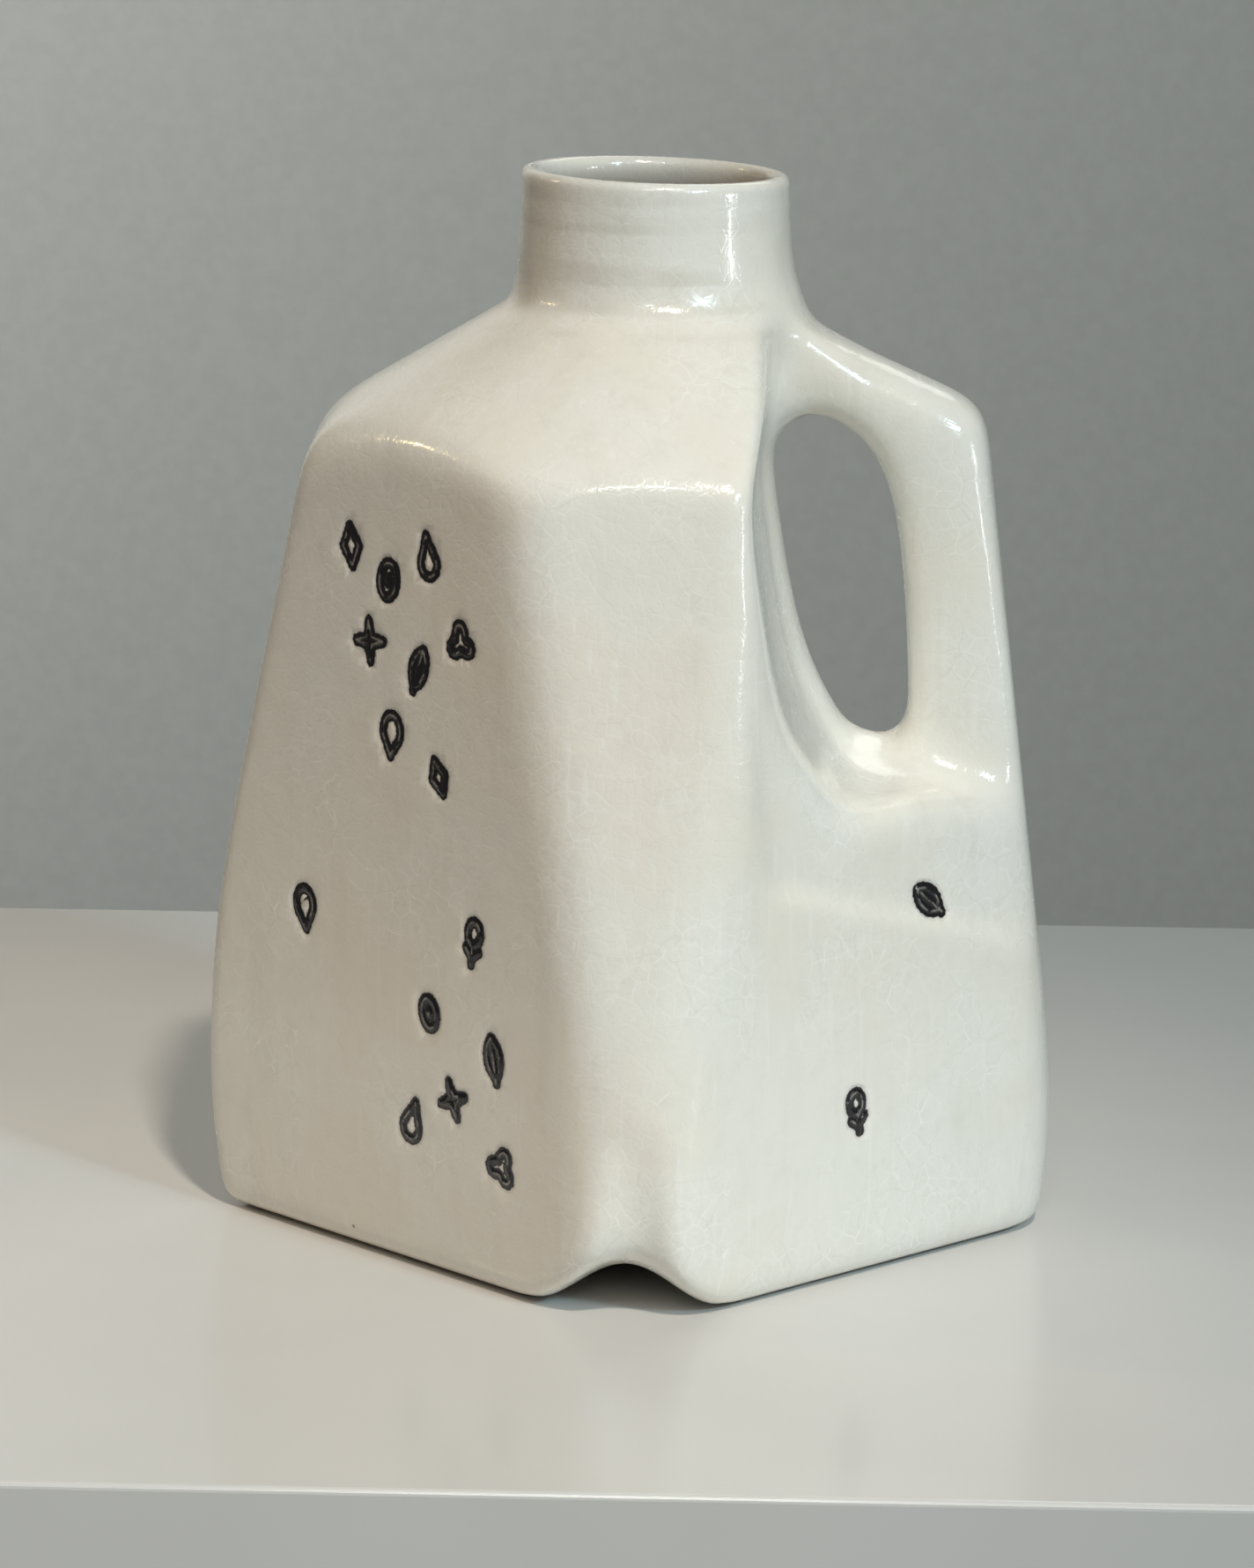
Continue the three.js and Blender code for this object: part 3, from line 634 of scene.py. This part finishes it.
# The shelf that the jug stands on and the wall well behind it.
shelf_paint = plain("shelf paint", (0.72, 0.71, 0.695), 0.19, 60, 0.03)
wall_paint = plain("wall paint", (0.50, 0.51, 0.485), 0.9, 8, 0.05)
shelf = slab("shelf", (-0.29, -0.1835, -0.040), (0.30, 0.268, 0.0), shelf_paint, 0.0012)
wall = slab("wall", (-4.0, 2.30, -2.5), (4.0, 2.34, 3.0), wall_paint, 0.001)


def lamp(name, place, target, size, power, colour, tall=None, cone=None):
    """A disk, a rectangle with tall given or, with a cone in degrees, a spot of light."""
    light = bpy.data.lights.new(name, "SPOT" if cone else "AREA")
    light.energy, light.color = power, colour
    if cone:
        light.spot_size, light.spot_blend, light.shadow_soft_size = math.radians(cone), 1.0, size / 2
    else:
        light.shape, light.size = "RECTANGLE" if tall else "DISK", size
        light.size_y = tall or size
    made = bpy.data.objects.new(name, light)
    made.location = place
    made.rotation_euler = (Vector(target) - Vector(place)).to_track_quat("-Z", "Y").to_euler()
    bpy.context.scene.collection.objects.link(made)


MIDDLE = (0, 0, 0.1)
lamp("key", (0.38, -1.25, 1.75), (-0.09, -0.09, 0.0), 0.14, 108, (1.0, 0.89, 0.76), cone=20)
lamp("window", (1.22, -1.35, 1.15), MIDDLE, 0.22, 15.5, (0.57, 0.86, 1.0), tall=0.22)
lamp("fill", (-1.6, -1.3, 0.8), MIDDLE, 1.2, 0.3, (1.0, 0.70, 0.45))
lamp("back fill", (0.5, 1.7, 1.7), MIDDLE, 1.2, 5, (1.0, 0.98, 0.95))
lamp("wall wash", (-1.3, 1.0, 0.9), (-1.05, 2.3, 0.65), 0.8, 27, (1.0, 1.0, 0.97))
lamp("left lamp", (-1.335, 0.222, 0.90), MIDDLE, 0.05, 1.3, (1.0, 0.80, 0.40), tall=0.04)
lamp("front lamp", (-0.10, -1.55, 1.45), MIDDLE, 0.24, 1.5, (1.0, 0.97, 0.9), tall=0.05)
lamp("middle lamp", (-0.02, -1.50, 1.50), MIDDLE, 0.05, 0.8, (1.0, 0.97, 0.9))
lamp("side lamp", (1.75, -0.70, 0.26), MIDDLE, 0.05, 3.0, (0.90, 0.98, 1.0), tall=0.35)

world = bpy.data.worlds.new("room")
bpy.context.scene.world = world
world.use_nodes = True
background = world.node_tree.nodes["Background"]
background.inputs["Color"].default_value = (0.82, 0.78, 0.72, 1)
background.inputs["Strength"].default_value = 0.12

# The camera, as fitted to the photograph.
CAMERA_DISTANCE, CAMERA_HEIGHT, CAMERA_SIDE = 1.203, 0.348, math.radians(2.0)
PITCH, YAW, ROLL = math.radians(12.0226), math.radians(0.04907), math.radians(0.48)
FOCAL_PIXELS, LONG_SIDE, SENSOR = 6740, 1780, 36.0
turn = CAMERA_SIDE + YAW
forward = Vector((-math.sin(turn) * math.cos(PITCH), math.cos(turn) * math.cos(PITCH), -math.sin(PITCH)))
right = Vector((math.cos(turn), math.sin(turn), 0))
up = right.cross(forward)
right, up = (math.cos(ROLL) * right + math.sin(ROLL) * up, math.cos(ROLL) * up - math.sin(ROLL) * right)
camera = bpy.data.objects.new("camera", bpy.data.cameras.new("camera"))
camera.matrix_world = Matrix((
    (*right[:], 0), (*up[:], 0), (*(-forward)[:], 0), (0, 0, 0, 1),
)).transposed()
camera.location = (
    CAMERA_DISTANCE * math.sin(CAMERA_SIDE), -CAMERA_DISTANCE * math.cos(CAMERA_SIDE), CAMERA_HEIGHT,
)
camera.data.lens = FOCAL_PIXELS / LONG_SIDE * SENSOR
camera.data.sensor_width = SENSOR
bpy.context.scene.collection.objects.link(camera)
bpy.context.scene.camera = camera
bpy.context.scene.view_settings.view_transform = "Standard"
